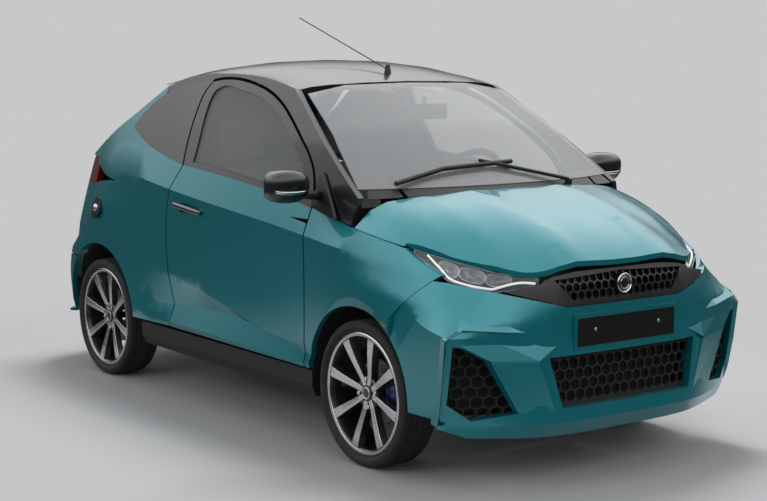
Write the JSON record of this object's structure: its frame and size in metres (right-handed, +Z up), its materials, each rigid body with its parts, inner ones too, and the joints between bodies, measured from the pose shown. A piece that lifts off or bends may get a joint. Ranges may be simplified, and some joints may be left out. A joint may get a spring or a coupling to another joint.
{
  "type": "microcar",
  "caption": "Small two-seat hatchback microcar with hinged doors, bonnet and tailgate, steered front wheels and free-turning road wheels.",
  "frame": {"origin": "on the ground under the middle of the car's length and width", "axes": "+X forward, +Y to the car's left, +Z up"},
  "size_m": [3.2205, 1.724, 1.6157],
  "materials": {
    "teal_paint": "glossy metallic teal",
    "black_gloss": "gloss black",
    "black_plastic": "satin black",
    "glass_clear": "clear",
    "glass_dark": "dark tint",
    "lamp_lens": "clear lens over bright reflector",
    "tail_lens": "red lens",
    "plate_black": "plain black plate",
    "chassis_black": "satin black",
    "engine_iron": "rough cast",
    "seat_fabric": "woven",
    "interior_plastic": "grained",
    "tyre": "matt",
    "rim_alloy": "machined faces, grey between"
  },
  "bodies": {
    "shell": {"floor_pan": "chassis_black", "body_sides": "teal_paint", "front_wings": "teal_paint", "roof_panel": "black_gloss", "windscreen": "glass_clear", "quarter_windows": "glass_dark", "front_bumper": "teal_paint", "rear_bumper": "teal_paint", "upper_grille": "black_plastic", "lower_grilles": "black_plastic", "number_plate": "plate_black", "headlamps": "lamp_lens", "tail_lamps": "tail_lens", "sill_covers": "teal_paint", "cowl_panel": "black_plastic", "dashboard": "interior_plastic", "seats": "seat_fabric", "engine_block": "engine_iron", "front_suspension": "chassis_black", "rear_axle": "chassis_black", "mirrors": "black_gloss", "wiper": "black_plastic", "antenna": "black_plastic", "fuel_cap": "teal_paint", "interior_mirror": "interior_plastic"},
    "door_right": {"door_panel_right": "teal_paint", "door_frame_right": "black_gloss", "door_glass_right": "glass_clear"},
    "door_left": {"door_panel_left": "teal_paint", "door_frame_left": "black_gloss", "door_glass_left": "glass_clear"},
    "bonnet_lid": {"bonnet": "teal_paint"},
    "rear_gate": {"tailgate": "teal_paint", "tailgate_glass": "glass_dark", "spoiler": "black_gloss"},
    "upright_right": {"knuckle_right": "chassis_black"},
    "upright_left": {"knuckle_left": "chassis_black"},
    "wheel_front_right": {"tyre_front_right": "tyre", "rim_front_right": "rim_alloy"},
    "wheel_rear_right": {"tyre_rear_right": "tyre", "rim_rear_right": "rim_alloy"},
    "wheel_front_left": {"tyre_front_left": "tyre", "rim_front_left": "rim_alloy"},
    "wheel_rear_left": {"tyre_rear_left": "tyre", "rim_rear_left": "rim_alloy"},
    "hand_wheel": {"steering_wheel": "interior_plastic"}
  },
  "joints": [
    {"name": "door_right_hinge", "type": "hinge", "parent": "shell", "child": "door_right", "pos_m": [0.51, -0.668, 0.7], "axis": [0, 0, 1], "range_deg": [0, 65]},
    {"name": "door_left_hinge", "type": "hinge", "parent": "shell", "child": "door_left", "pos_m": [0.51, 0.668, 0.7], "axis": [0, 0, -1], "range_deg": [0, 65]},
    {"name": "bonnet_hinge", "type": "hinge", "parent": "shell", "child": "bonnet_lid", "pos_m": [0.865, 0, 0.945], "axis": [0, -1, 0], "range_deg": [0, 50]},
    {"name": "tailgate_hinge", "type": "hinge", "parent": "shell", "child": "rear_gate", "pos_m": [-0.768, 0, 1.375], "axis": [0, 1, 0], "range_deg": [0, 70]},
    {"name": "steer_left", "type": "hinge", "parent": "shell", "child": "upright_left", "pos_m": [0.926, 0.552, 0.2653], "axis": [0, 0, 1], "range_deg": [-30, 30]},
    {"name": "steer_right", "type": "hinge", "parent": "shell", "child": "upright_right", "pos_m": [0.926, -0.552, 0.2653], "axis": [0, 0, 1], "range_deg": [-30, 30]},
    {"name": "steering_turn", "type": "hinge", "parent": "shell", "child": "hand_wheel", "pos_m": [0.335, 0.29, 0.905], "axis": [-0.9063, 0, 0.4226], "range_deg": [-450, 450]},
    {"name": "spin_front_right", "type": "hinge", "parent": "upright_right", "child": "wheel_front_right", "pos_m": [0.926, -0.59, 0.2653], "axis": [0, 1, 0], "continuous": true},
    {"name": "spin_rear_right", "type": "hinge", "parent": "shell", "child": "wheel_rear_right", "pos_m": [-1.106, -0.59, 0.2653], "axis": [0, 1, 0], "continuous": true},
    {"name": "spin_front_left", "type": "hinge", "parent": "upright_left", "child": "wheel_front_left", "pos_m": [0.926, 0.59, 0.2653], "axis": [0, 1, 0], "continuous": true},
    {"name": "spin_rear_left", "type": "hinge", "parent": "shell", "child": "wheel_rear_left", "pos_m": [-1.106, 0.59, 0.2653], "axis": [0, 1, 0], "continuous": true}
  ],
  "couplings": [
    {"joint": "steer_right", "follows": "steer_left", "ratio": 1},
    {"joint": "steering_turn", "follows": "steer_left", "ratio": 15}
  ]
}
